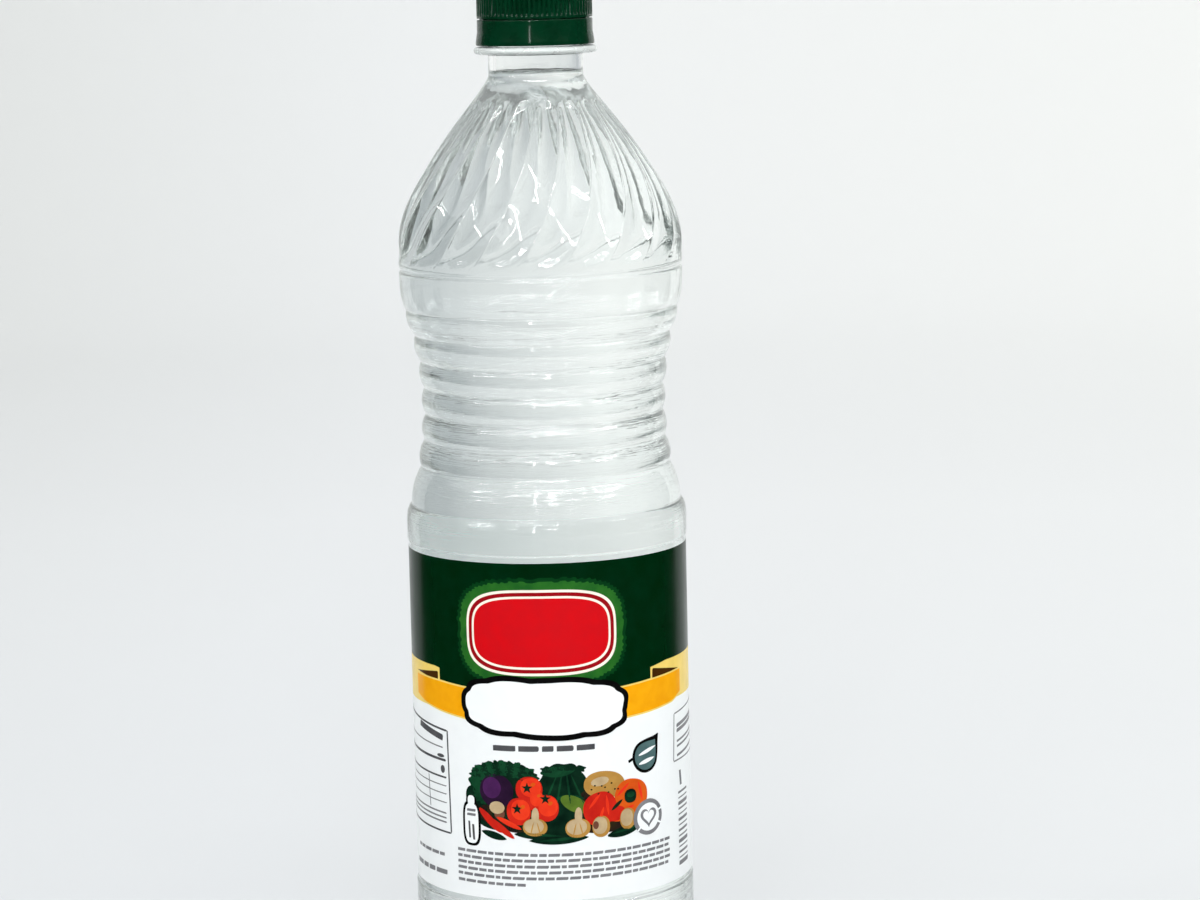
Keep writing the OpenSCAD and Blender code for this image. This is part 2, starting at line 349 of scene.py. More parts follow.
def ease(x):
    """Smooth step from 0 to 1, flat at both ends."""
    k = np.clip(x, 0, 1)
    return k * k * (3 - 2 * k)


def cubic(t, a, b, c, d):
    """Value at t on the cubic curve through four heights or radii."""
    return (1 - t) ** 3 * a + 3 * (1 - t) ** 2 * t * b + 3 * (1 - t) * t * t * c + t**3 * d


def shoulder_radius(t):
    """Radius on the shoulder's curve, t from 0 at the bulge's side to 1 at the neck."""
    return cubic(t, bulge_r, bulge_r, neck_r, neck_r)


def shoulder_height(t):
    """Height on the shoulder's curve, t from 0 at the bulge's side to 1 at the neck."""
    return cubic(t, z_shoulder, z_shoulder + shoulder_fullness, z_neck - neck_slimness, z_neck)


def crown(z):
    """Radius of the long hollow curve over the rings' crowns at height z: a circle's arc."""
    return waist_r + waist_curve_r - np.sqrt(waist_curve_r**2 - (z - (z_waist + z_bulge) / 2) ** 2)


def side_profile():
    """Radius and height up the outside, from the heel to the flutes.

    Straight rolls and panel joined by smooth steps; rings that swell as blunted half sine
    waves on the hollow curve; a bulge with a quarter ellipse underneath, and its crease."""
    k = np.linspace(0, 1, 6)
    roll_edge = np.stack([roll_r - 0.4 * ease(k), bottom_h - 0.6 + 0.9 * k])
    panel = np.array([[panel_r, panel_r], [80.0, 120.0]])
    upper_edge = np.stack([panel_r + 0.4 * ease(k), z_upper_roll - 0.3 + 0.9 * k])
    low = z_waist - roll_turn_h
    a = np.linspace(0, math.pi / 2, 8)[:-1]
    step_in = roll_r - crown(z_waist) + ring_depth
    into_waist = np.stack([roll_r - step_in * (1 - np.cos(a)), low + roll_turn_h * np.sin(a)])
    f = np.array([0, 0.02, 0.06, 0.14, 0.25, 0.37, 0.5, 0.63, 0.75, 0.86, 0.94, 0.98])
    z = (ring_starts[:, None] + ring_heights[:, None] * f[None, :]).ravel()
    swell = np.tile(np.sin(math.pi * f) ** 0.75, len(ring_starts))
    rings = np.stack([crown(z) - ring_depth * (1 - swell), z])
    groove_r = crown(z_bulge) - ring_depth
    a = np.linspace(0, math.pi / 2, 14)
    under_r = groove_r + (bulge_r - groove_r) * np.sin(a)
    under = np.stack([under_r, z_bulge + bulge_turn_h * (1 - np.cos(a))])
    k = np.linspace(0, 1, 9)
    crease_r = bulge_r - crease_depth * np.sin(math.pi * k) ** 2
    crease = np.stack([crease_r, z_crease_top - 0.9 + 1.8 * k])
    return np.concatenate([roll_edge, panel, upper_edge, into_waist, rings, under, crease], 1)


def body_rows():
    """Rows up the outside from the heel to the foot of the neck.

    Each row has a radius, a height, a wall, how far its flutes have opened, and how far the
    columns have swung round. The flutes run nearly straight at the top and curve at their feet."""
    r, z = side_profile()
    v = np.linspace(0.0, 1.0, 44)[1:]
    t = np.maximum(0, (v - side_share) / (1 - side_share)) * flutes_end_t
    straight_z = z_flutes + (z_shoulder - z_flutes) * v / side_share
    zone_z = np.where(v < side_share, straight_z, shoulder_height(t))
    t_top = np.linspace(flutes_end_t, 1, 8)[1:]
    radius = np.concatenate([r, shoulder_radius(t), shoulder_radius(t_top)])
    height = np.concatenate([z, zone_z, shoulder_height(t_top)])
    along = np.concatenate([np.zeros(len(r)), v, np.ones(len(t_top))])
    wall_t = np.concatenate([np.zeros(len(r)), t, t_top])
    wall = film_wall + (neck_r - bore_r - film_wall) * ease((wall_t - 0.75) / 0.25)
    foot_end = np.clip((along - 0.05) / 0.16, 0, 1)
    top_end = np.clip((0.87 - along) / 0.13, 0, 1)
    opened = np.sqrt(1 - (1 - foot_end) ** 2) * np.sqrt(1 - (1 - top_end) ** 2)
    swing = np.radians(-90 - flute_turn * (1 - along) ** 1.7)
    return radius, height, wall, opened, swing


def fluted(radius, height, opened, swing, inset):
    """Points of the rows, with each flute pressed in as half a sine wave between two ridges.

    Where a flute has only partly opened the wave is sunk, so that its end is a rounded arch."""
    wave = np.sin(math.pi * column_phase)[None, :]
    cut = flute_depth * np.maximum(0, wave - (1 - opened[:, None])) * (opened[:, None] > 0)
    r = radius[:, None] - inset[:, None] - cut
    angle = swing[:, None] + column_angle[None, :]
    z = np.broadcast_to(height[:, None], r.shape)
    return np.stack([r * np.cos(angle), r * np.sin(angle), z], -1)


def plain(radius, height, swing):
    """Points of turned rows on the bottle's columns, all swung by one angle."""
    return turned(radius, height, column_angle + swing)


def underside(lift):
    """Arc from the middle of the pushed-up base down to the standing ring."""
    w = roll_r - heel_r - foot_w
    r = (w * w + push_up_h**2) / (2 * push_up_h)
    a = math.asin(w / r) * np.linspace(0.06, 1, 12)
    return r * np.sin(a), push_up_h + lift - r * (1 - np.cos(a))


def heel(inset):
    """Quarter circle from the standing ring up to the side."""
    a = np.linspace(-math.pi / 2, 0, 11)
    return roll_r - heel_r + (heel_r - inset) * np.cos(a), heel_r + (heel_r - inset) * np.sin(a)


def base_rows(inset):
    """Points of the pushed-up base and the heel, for a face that lies inside the surface."""
    r, z = [np.concatenate(pair) for pair in zip(underside(inset), heel(inset))]
    return plain(r, z, low_swing)


radius, height, wall, opened, swing = body_rows()
low_swing, high_swing = swing[0], swing[-1]
outside = [base_rows(0), fluted(radius, height, opened, swing, np.zeros(len(radius)))]
k = np.linspace(0, math.pi, 9)
support_edge_r = support_r - support_t / 2 + support_t / 2 * np.sin(k)
support_edge_z = z_support + support_t / 2 * (1 - np.cos(k))
# Close rows by each small step hold the smooth shading level on the long faces beside it
below_ring_r = neck_r + np.array([0, 0, 0, 0.1, 0.4])
below_ring_z = np.append(z_neck + 1.5, z_support + np.array([-0.35, -0.15, -0.03, 0]))
above_ring_r = finish_r + np.array([0.1, 0, 0, -0.1, -0.4])
z_ring_top = z_support + support_t
above_ring_z = np.array([z_ring_top, z_ring_top + 0.2, z_seal - 0.5, z_seal - 0.12, z_seal])
neck_out_r = np.concatenate([below_ring_r, support_edge_r, above_ring_r])
neck_out_z = np.concatenate([below_ring_z, support_edge_z, above_ring_z])
neck_in_r = np.array([finish_bore_r + 0.1, finish_bore_r, finish_bore_r, bore_r, bore_r, bore_r])
behind_band_z = z_support + np.array([3.4, 2.4, 1.9])
neck_in_z = np.concatenate([[z_seal, z_seal - 0.2], behind_band_z, [z_neck + 1.0]])
outside.append(plain(neck_out_r, neck_out_z, high_swing))
inside = [plain(neck_in_r, neck_in_z, high_swing),
          fluted(radius, height, opened, swing, wall)[::-1]]
inside.append(base_rows(film_wall)[::-1])
bottle = surface("blown_bottle", np.concatenate(outside + inside), close_ends=True)

material, tree, shader = new_material("clear polyester")
shader.inputs["Base Color"].default_value = (0.985, 0.995, 0.99, 1)
shader.inputs["Transmission Weight"].default_value = 1
shader.inputs["IOR"].default_value = 1.57
tree.links.new(between(tree, noise(tree, 90), 0.0, 0.03), shader.inputs["Roughness"])
# Fine level lines of relief lie on everything below the bulge
ringed = spread(tree, place_along(tree, "Z"), (z_bulge + bulge_turn_h) * MM, (z_bulge - 2) * MM)
lines = tree.nodes.new("ShaderNodeMath")
lines.operation = "MULTIPLY"
tree.links.new(noise(tree, 90, 3.0, (0.25, 0.25, 6.0)), lines.inputs[0])
tree.links.new(ringed, lines.inputs[1])
relief = tree.nodes.new("ShaderNodeMath")
relief.operation = "ADD"
tree.links.new(noise(tree, 110, 2.0, (1, 1, 0.6)), relief.inputs[0])
tree.links.new(lines.outputs["Value"], relief.inputs[1])
bumped(tree, shader, relief.outputs["Value"], 0.6, 0.0005)
bottle.data.materials.append(material)
# The thick support ring is hazier than the blown wall
hazy, tree, shader = new_material("hazy polyester")
haze = tinted(tree, noise(tree, 200), (0.9, 0.97, 0.94), (0.97, 1.0, 0.99))
tree.links.new(haze, shader.inputs["Base Color"])
tree.links.new(between(tree, noise(tree, 160), 0.2, 0.35), shader.inputs["Roughness"])
shader.inputs["Transmission Weight"].default_value = 0.45
shader.inputs["IOR"].default_value = 1.57
bumped(tree, shader, noise(tree, 150), 0.1, 0.0001)
bottle.data.materials.append(hazy)
centres = np.empty(len(bottle.data.polygons) * 3)
bottle.data.polygons.foreach_get("center", centres)
centres = centres.reshape(-1, 3) / MM
on_ring = (np.abs(centres[:, 2] - z_support - support_t / 2) < support_t / 2 + 0.05)
on_ring &= np.hypot(centres[:, 0], centres[:, 1]) > neck_r + 0.4
bottle.data.polygons.foreach_set("material_index", on_ring.astype(np.int32))
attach(bottle, "root")
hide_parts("bottle")

# ---------------------------------------------------------------------------------------------
# Vinegar
# The clear liquid inside, up to the foot of the neck. It reaches just into the wall, and its
# surface climbs the wall a little all round.
z_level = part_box("vinegar")[1].z / MM
overlap = 0.15
climb, climb_fades_over = 0.5, 0.6
wet_r = bore_r + overlap
run_in = np.linspace(0, 1, 14) ** 1.6
top_r = np.concatenate([[wet_r, bore_r + 0.02], wet_r * (1 - run_in)[1:-1]])
top_z = z_level + climb * np.exp(-(wet_r - top_r) / climb_fades_over)
liquid_rows = [
    base_rows(film_wall - overlap),
    fluted(radius, height, opened, swing, wall - overlap),
    plain(top_r, top_z, high_swing),
]
vinegar = surface("vinegar_fill", np.concatenate(liquid_rows), close_ends=True)
material, tree, shader = new_material("clear vinegar")
shader.inputs["Base Color"].default_value = (0.99, 1.0, 0.995, 1)
shader.inputs["Transmission Weight"].default_value = 1
shader.inputs["IOR"].default_value = 1.335
shader.inputs["Roughness"].default_value = 0
bumped(tree, shader, noise(tree, 60, 1.0), 0.15, 0.0002)
vinegar.data.materials.append(material)
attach(vinegar, "root")
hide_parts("vinegar")

# ---------------------------------------------------------------------------------------------
# Label
# Printed plastic film wrapped once round the panel: a dark green field over a white one, a
# golden ribbon across their join, and print in flat inks laid one over the other.
label_low, label_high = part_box("label")
label_z, label_h = label_low.z / MM, (label_high.z - label_low.z) / MM
label_r = label_high.x / MM
ink_step = 0.015


def film_angle(u):
    """Angle round the axis of a place u millimetres right of the front's middle."""
    return u / label_r - math.pi / 2


angles = film_angle(np.linspace(-math.pi, math.pi, 240, endpoint=False) * label_r)
k = np.array([0, 0.04, 0.12, 0.3, 0.7, 1])
quarters = label_h * np.array([0.25, 0.5, 0.75])
heights = label_z + np.concatenate([k * 0.5, quarters, label_h - k[::-1] * 0.5])
out_points = turned(np.full(len(heights), label_r), heights, angles)
in_points = turned(np.full(len(heights), panel_r + 0.005), heights, angles)
label = surface("label_film", np.concatenate([out_points, in_points[::-1]]), loop=True)
label.data.set_sharp_from_angle(angle=math.radians(40))


def printed_film(name, colour, other=None):
    """Film with a flat ink: faint mottling in the colour, a soft gloss, slight waviness."""
    material, tree, shader = new_material(name)
    other = other or tuple(min(1, c * 0.9) for c in colour)
    tree.links.new(tinted(tree, noise(tree, 260, 4), other, colour), shader.inputs["Base Color"])
    tree.links.new(between(tree, noise(tree, 70), 0.16, 0.26), shader.inputs["Roughness"])
    shader.inputs["Specular IOR Level"].default_value = 0.07
    bumped(tree, shader, noise(tree, 35, 2, (1, 1, 0.5)), 0.2, 0.0005)
    return material


white_film = printed_film("white film", (0.84, 0.86, 0.865), (0.82, 0.84, 0.85))
label.data.materials.append(white_film)
backing, tree, shader = new_material("white backing")
cloud = tinted(tree, noise(tree, 60), (0.9, 0.92, 0.92), (0.94, 0.95, 0.95))
tree.links.new(cloud, shader.inputs["Base Color"])
shader.inputs["Roughness"].default_value = 0.6
# The backing gives off light, twice as much on the right as on the left, in place of the light
# that would come through the film
rightward = spread(tree, place_along(tree, "X"), -panel_r * MM, panel_r * MM)
glow = tinted(tree, rightward, (0.42, 0.48, 0.49), (0.98, 1.0, 0.99))
tree.links.new(glow, shader.inputs["Emission Color"])
shader.inputs["Emission Strength"].default_value = 0.68
label.data.materials.append(backing)
inner = np.zeros(len(label.data.polygons), int)
inner[len(heights) * len(angles):-len(angles)] = 1
label.data.polygons.foreach_set("material_index", inner)
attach(label, "root")
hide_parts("label")


def slab_mesh(front, back):
    """Vertices and faces of one thin closed slab from two equal grids of points.

    The grids' cells make the front and back, and the cells between their edges make the rim."""
    rows, cols = front.shape[:2]
    size = rows * cols
    row, col = np.arange(rows - 1)[:, None], np.arange(cols - 1)[None, :]
    a = row * cols + col
    cells = np.stack([a, a + 1, a + 1 + cols, a + cols], -1).reshape(-1, 4)
    right, left = np.arange(1, rows) * cols + cols - 1, np.arange(rows - 2, 0, -1) * cols
    top = (rows - 1) * cols + np.arange(cols - 2, -1, -1)
    edge = np.concatenate([np.arange(cols), right, top, left])
    nxt = np.roll(edge, -1)
    rim = np.stack([edge + size, nxt + size, nxt, edge], -1)
    faces = np.concatenate([cells, cells[:, ::-1] + size, rim])
    return np.concatenate([front.reshape(-1, 3), back.reshape(-1, 3)]), faces


def film_points(u, v, layer):
    """Points on the label at places u along it and v up it, raised by a number of ink steps."""
    r = label_r + layer * ink_step
    angle = film_angle(u)
    return np.stack([r * np.cos(angle), r * np.sin(angle), label_z + v], -1)


def strip(u, low, high, layer):
    """A field between two curves, low and high, over places u along the label."""
    uu = np.broadcast_to(u[None, :], (2, len(u)))
    vv = low + (high - low) * np.array([0.0, 1.0])[:, None]
    return slab_mesh(film_points(uu, vv, layer), film_points(uu, vv, -1))


def patch(u, v, layer):
    """A filled outline: rings of the outline shrunk towards its middle, closed at the centre."""
    u, v = np.asarray(u, float), np.asarray(v, float)
    cu, cv = u.mean(), v.mean()
    reach = np.abs(u - cu).max()
    steps = max(2, int(reach / 1.5) + 2)
    share = np.linspace(0.02, 1, steps)[:, None]
    uu, vv = cu + (u - cu)[None, :] * share, cv + (v - cv)[None, :] * share
    rows, cols = uu.shape
    front, back = film_points(uu, vv, layer), film_points(uu, vv, -1)
    grid = np.concatenate([front, back[::-1]])
    row, col = np.arange(2 * rows - 1)[:, None], np.arange(cols)[None, :]
    here, beside = row * cols + col, row * cols + (col + 1) % cols
    cells = np.stack([beside, here, here + cols, beside + cols], -1)
    middles = [film_points(cu, cv, layer), film_points(cu, cv, -1)]
    verts = np.concatenate([grid.reshape(-1, 3), middles])
    centre, last = 2 * rows * cols, (2 * rows - 1) * cols
    a, b = np.arange(cols), np.roll(np.arange(cols), -1)
    front_fan = np.stack([np.full(cols, centre), a, b], -1)
    back_fan = np.stack([np.full(cols, centre + 1), last + b, last + a], -1)
    return verts, cells.reshape(-1, 4).tolist() + front_fan.tolist() + back_fan.tolist()


def turning_left(u, v):
    """The outline in the order that runs anticlockwise as seen from outside."""
    area = np.sum(u * np.roll(v, -1) - np.roll(u, -1) * v)
    return (u, v) if area > 0 else (u[::-1], v[::-1])


def tilted(cu, cv, x, y, tilt):
    """Places x and y turned by a tilt in degrees and moved to a middle."""
    c, s = math.cos(math.radians(tilt)), math.sin(math.radians(tilt))
    return cu + x * c - y * s, cv + x * s + y * c


def oval(cu, cv, half_u, half_v, power=2.0, tilt=0.0, points=40):
    """Outline of an oval or, with a higher power, a rounded oblong; tilt in degrees."""
    a = np.linspace(0, 2 * math.pi, points, endpoint=False)
    x = half_u * np.sign(np.cos(a)) * np.abs(np.cos(a)) ** (2 / power)
    y = half_v * np.sign(np.sin(a)) * np.abs(np.sin(a)) ** (2 / power)
    return tilted(cu, cv, x, y, tilt)


def printed(name, material, shapes):
    """One ink: all its slabs joined in a single piece that rides with the bottle."""
    verts, faces, count = [], [], 0
    for points, cells in shapes:
        verts.append(points)
        faces += [[int(i) + count for i in cell] for cell in cells]
        count += len(points)
    mesh = bpy.data.meshes.new(name)
    mesh.from_pydata((np.concatenate(verts) * MM).tolist(), [], faces)
    ink = placed(name, mesh)
    mesh.materials.append(material)
    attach(ink, "root")
    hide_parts("label")


def evened(u, v, gap=0.7):
    """The same closed outline with points at even steps along it."""
    u, v = np.append(u, u[0]), np.append(v, v[0])
    run = np.concatenate([[0], np.cumsum(np.hypot(np.diff(u), np.diff(v)))])
    count = int(max(16, run[-1] / gap))
    at = np.linspace(0, run[-1], count, endpoint=False)
    return np.interp(at, run, u), np.interp(at, run, v)


def fill(outline, layer, gap=0.7):
    """A patch from an outline that runs either way round."""
    u, v = turning_left(np.asarray(outline[0], float), np.asarray(outline[1], float))
    return patch(*evened(u, v, gap), layer)


def line(u0, v0, u1, v1, width, layer):
    """A straight stroke with square ends from one place to another."""
    length = math.hypot(u1 - u0, v1 - v0)
    across_u, across_v = -(v1 - v0) / length * width / 2, (u1 - u0) / length * width / 2
    u = np.array([u0 - across_u, u1 - across_u, u1 + across_u, u0 + across_u])
    v = np.array([v0 - across_v, v1 - across_v, v1 + across_v, v0 + across_v])
    return fill((u, v), layer, max(0.7, length / 60))


def words(u0, u1, v, size, layer, start=1, slope=0.0):
    """A row of short strokes with gaps between, in place of a line of print."""
    shapes, at, k = [], u0, start
    while at < u1 - size:
        long = size * (1.6 + 2.6 * abs(math.sin(k * 2.4)))
        end = min(at + long, u1)
        shapes.append(line(at, v + slope * (at - u0), end, v + slope * (end - u0), size, layer))
        at, k = end + size * 0.55, k + 1
    return shapes


def frilled(cu, cv, half_u, half_v, lobes, depth, points=160):
    """Outline of an oval whose edge swells and dips in frills."""
    a = np.linspace(0, 2 * math.pi, points, endpoint=False)
    swell = 1 + depth * np.sin(a * lobes) + 0.5 * depth * np.sin(a * (2 * lobes - 3) + 1)
    return cu + half_u * swell * np.cos(a), cv + half_v * swell * np.sin(a)


def leaf(cu, cv, half_u, half_v, tilt, sharp=1.6, points=60):
    """Outline of a pod or leaf: two arcs that meet in points, turned by a tilt in degrees."""
    a = np.linspace(0, 2 * math.pi, points, endpoint=False)
    x, y = half_u * np.cos(a), half_v * np.sign(np.sin(a)) * np.abs(np.sin(a)) ** sharp
    return tilted(cu, cv, x, y, tilt)


def star(cu, cv, size, arms, turned_by=0.0):
    """Outline of a small calyx with pointed arms."""
    a = np.linspace(0, 2 * math.pi, arms * 2, endpoint=False) + turned_by
    r = np.where(np.arange(arms * 2) % 2 == 0, size, size * 0.38)
    return cu + r * np.cos(a), cv + r * np.sin(a)


def heart(cu, cv, size, points=48):
    """Outline of a heart: the usual sine and cosine curve."""
    a = np.linspace(0, 2 * math.pi, points, endpoint=False)
    u = np.sin(a) ** 3
    v = (13 * np.cos(a) - 5 * np.cos(2 * a) - 2 * np.cos(3 * a) - np.cos(4 * a)) / 16
    return cu + size * u, cv + size * v


round_u = np.linspace(-math.pi, math.pi, 241) * label_r
ribbon_top_u = np.array([-47, -34, -24, -12, 0, 10, 19, 29, 44])
ribbon_top_v = np.array([57.5, 57.3, 56.6, 56.0, 55.7, 55.7, 56.1, 56.8, 57.4])
ribbon_low_u = np.array([-46.7, -42, -34, -24, 21, 29, 39, 44])
ribbon_low_v = np.array([52.1, 50.7, 49.6, 48.5, 48.2, 48.7, 49.6, 51.3])
back_low = 50.0

green_low = np.where(np.abs(round_u) < 40, np.interp(round_u, ribbon_top_u, ribbon_top_v) - 3, 58)
green = [strip(round_u, green_low, np.full(len(round_u), label_h - 0.02), 1)]
printed("print_dark_green", printed_film("dark green ink", rgb(0, 33, 9), rgb(0, 38, 16)), green)

plate = (-2.5, 72.3)
halo_a = np.linspace(0, 2 * math.pi, 480, endpoint=False)
ragged = 0.5 * np.sign(np.sin(halo_a * 70)) + 0.3 * np.sin(halo_a * 23)


def halo(extra, roughness):
    """The plate's outline grown by a margin, with a ragged edge like sprayed dots."""
    u, v = oval(*plate, 20.8 + extra, 11.5 + extra, 3.4, 0, 480)
    away = np.hypot(u - plate[0], v - plate[1])
    grow = 1 + roughness * ragged / away
    return plate[0] + (u - plate[0]) * grow, plate[1] + (v - plate[1]) * grow


deep_green_ink = printed_film("deep green ink", rgb(8, 62, 24), rgb(3, 48, 20))
printed("print_halo_edge", deep_green_ink, [fill(halo(3.1, 0.45), 2, 0.35)])
leaf_green_ink = printed_film("leaf green ink", rgb(44, 108, 36), rgb(28, 88, 32))
printed("print_halo", leaf_green_ink, [fill(halo(2.1, 0.4), 3, 0.35)])

cream = [fill(oval(*plate, 20.8, 11.5, 3.4, 0, 200), 4), fill(oval(*plate, 19.1, 9.8, 3.4, 0, 200), 6)]
dark_red = [fill(oval(*plate, 20.1, 10.8, 3.4, 0, 200), 5)]
red = [fill(oval(*plate, 18.5, 9.2, 3.4, 0, 200), 7)]
printed("print_cream", printed_film("cream ink", rgb(250, 240, 225)), cream)
printed("print_dark_red", printed_film("dark red ink", rgb(150, 12, 22)), dark_red)
printed("print_red", printed_film("red ink", rgb(206, 9, 19), rgb(197, 14, 23)), red)

left_u = np.linspace(-math.pi * label_r, -34.0, 80)
right_u = np.linspace(29.5, math.pi * label_r, 80)
pale, gold, brown = [], [], []
for side_u in (left_u, right_u):
    top_v = np.interp(np.abs(side_u), [29, 36, 60], [60.2, 61.2, 61.4])
    pale.append(strip(side_u, np.full(80, back_low), top_v, 2))
band_u = np.linspace(-46.9, 44.0, 120)
band_top = np.interp(band_u, ribbon_top_u, ribbon_top_v)
band_low = np.interp(band_u, ribbon_low_u, ribbon_low_v)
pale.append(strip(band_u, band_low - 0.45, band_top + 0.45, 4))
gold.append(strip(band_u, band_low, band_top, 5))
brown.append(fill((np.array([-47, -34.7, -34.8]), np.array([58.4, 59.9, 57.4])), 3))
brown.append(fill((np.array([43.9, 30.2, 30.1]), np.array([57.7, 59.9, 56.9])), 3))
printed("print_pale_gold", printed_film("pale gold ink", rgb(238, 208, 110)), pale)
printed("print_gold", printed_film("gold ink", rgb(240, 166, 10), rgb(233, 155, 3)), gold)
printed("print_brown", printed_film("brown ink", rgb(66, 38, 8)), brown)

# The name plate is a bare white cloud with a heavy black edge
plaque_middle = (-2.0, 52.1)
plaque_a = np.linspace(0, 2 * math.pi, 360, endpoint=False)
bumps = 0.5 * np.abs(np.sin(plaque_a * 5.5 + 0.4)) - 0.3


def plaque(margin):
    """Outline of the name plate: a rounded oblong with shallow scallops, grown by a margin."""
    cu, cv = plaque_middle
    u, v = oval(cu, cv, 22.0 + margin, 6.9 + margin, 3.0, -2, 360)
    grow = 1 + bumps * 1.6 / np.hypot(u - cu, v - cv)
    return cu + (u - cu) * grow, cv + (v - cv) * grow


black = [fill(plaque(1.5), 6)]
white = [fill(plaque(0), 7)]

# Small print is rows of short grey strokes, and the boxes are plain outlines. Places are
# millimetres right of the front's middle and up from the label's lower edge.
grey, dark = [], []
for n, v in enumerate((12.4, 10.8, 9.2, 7.6, 6.0)):
    grey += words(-28.5, 36.3, v, 0.78, 2, start=3 * n + 1)
grey += words(-28.5, -8.0, 4.2, 0.78, 2, start=5)
dark += words(-16.2, 11.4, 41.2, 1.5, 2, start=2)
table_left = -math.pi * label_r * 0.62
dark.append(line(table_left, 47.6, -31.6, 44.0, 0.55, 2))
dark.append(line(-31.5, 44.2, -30.9, 16.1, 0.5, 2))
dark.append(line(table_left, 17.2, -30.9, 16.1, 0.5, 2))
dark.append(line(table_left, 37.0, -32.3, 35.8, 0.7, 2))
dark.append(line(table_left, 32.3, -32.3, 31.1, 0.5, 2))
dark.append(line(-46, 44.0, -33.4, 41.9, 1.7, 2))
grey.append(line(table_left, 41.5, -33.4, 39.2, 0.35, 2))
for v in (28.8, 26.6, 24.2):
    grey.append(line(table_left, v + 1.0, -32.3, v, 0.3, 2))
for v in (21.3, 20.0, 18.8):
    grey.append(line(table_left, v + 1.0, -32.6, v, 0.45, 2))
grey.append(line(-41, 31.0, -40.4, 22.0, 0.35, 2))
dark.append(fill(oval(-33.8, 33.3, 0.9, 1.1), 2))
dark.append(fill(oval(-34.6, 36.9, 1.6, 0.5), 2))
grey += words(-50, -33.0, 9.8, 0.9, 2, start=4)
grey += words(-52, -32.8, 5.0, 1.3, 2, start=7)
grey.append(line(40.0, 45.6, 39.3, 32.6, 0.4, 2))
grey.append(line(40.0, 45.6, 60.0, 47.2, 0.4, 2))
grey.append(line(39.3, 32.6, 60.0, 33.0, 0.4, 2))
for v, size in ((42.6, 1.0), (41.2, 1.0), (38.3, 0.6), (36.9, 0.6), (34.4, 0.7)):
    grey.append(line(41.4, v - 0.5, 56.0, v + 0.8, size, 2))
grey.append(line(43.0, 29.6, 43.6, 25.4, 1.2, 2))
for n, size in enumerate((1.6, 0.5, 0.9, 0.5, 1.4, 0.6, 0.9, 0.5, 1.1, 0.5, 0.7, 1.3, 0.5, 0.8)):
    grey.append(line(41.6, 4.0 + n * 1.5, 48.4, 4.3 + n * 1.5, size * 0.75, 2))

# Vegetables in flat inks: greens at the back, round ones, then garlic, pods and chillies in front
deep, leafy, violet, plum, tomato, scarlet = ([] for _ in range(6))
orange, ochre, lime, garlic, shade, mushroom = ([] for _ in range(6))
leafy.append(fill(frilled(-13.6, 32.9, 9.4, 4.7, 13, 0.08), 2, 0.4))
leafy.append(fill(frilled(-20.6, 31.0, 3.2, 4.8, 9, 0.10), 2, 0.35))
deep.append(fill(frilled(-13.0, 31.2, 6.4, 3.2, 9, 0.12), 3, 0.4))
for ink, outline, layer in (
    (deep, oval(-23.3, 27.6, 1.8, 2.7), 2),
    (deep, oval(-12.8, 24.9, 10.2, 6.2, 2.6), 2),
    (deep, frilled(2.6, 29.0, 7.1, 8.3, 7, 0.03), 2),
    (deep, oval(3.2, 22.6, 7.4, 5.4, 2.4), 2),
    (leafy, leaf(1.2, 35.0, 4.8, 1.5, 4), 3),
    (leafy, leaf(4.4, 27.7, 3.8, 0.9, -3), 3),
):
    ink.append(fill(outline, layer))
for n, a in enumerate(np.linspace(0.1, math.pi - 0.1, 13)):
    curl = (-13.6 + 8.2 * math.cos(a), 32.6 + 4.0 * math.sin(a))
    (deep if n % 2 else leafy).append(fill(frilled(*curl, 1.5, 1.2, 5, 0.2, 60), 3, 0.3))
for n, a in enumerate(np.linspace(0.5, math.pi - 0.5, 7)):
    curl = (-13.4 + 5.0 * math.cos(a), 32.6 + 2.0 * math.sin(a))
    (leafy if n % 2 else deep).append(fill(frilled(*curl, 1.1, 0.9, 5, 0.2, 60), 4, 0.3))
for n in range(5):
    leafy.append(fill(frilled(-21.6 + 0.5 * n, 34.4 - 2.0 * n, 1.0, 0.8, 5, 0.2, 60), 3, 0.3))
for n, tilt in enumerate((66, 80, 96, 112)):
    leafy.append(fill(leaf(-0.8 + 2.4 * n, 30.6 - 0.4 * abs(n - 1.5), 4.4, 0.28, tilt), 4, 0.4))
for n in range(4):
    deep.append(fill(frilled(-1.6 + 2.9 * n, 36.3 - 0.5 * abs(n - 1.4), 1.6, 0.9, 5, 0.15, 60), 3, 0.3))
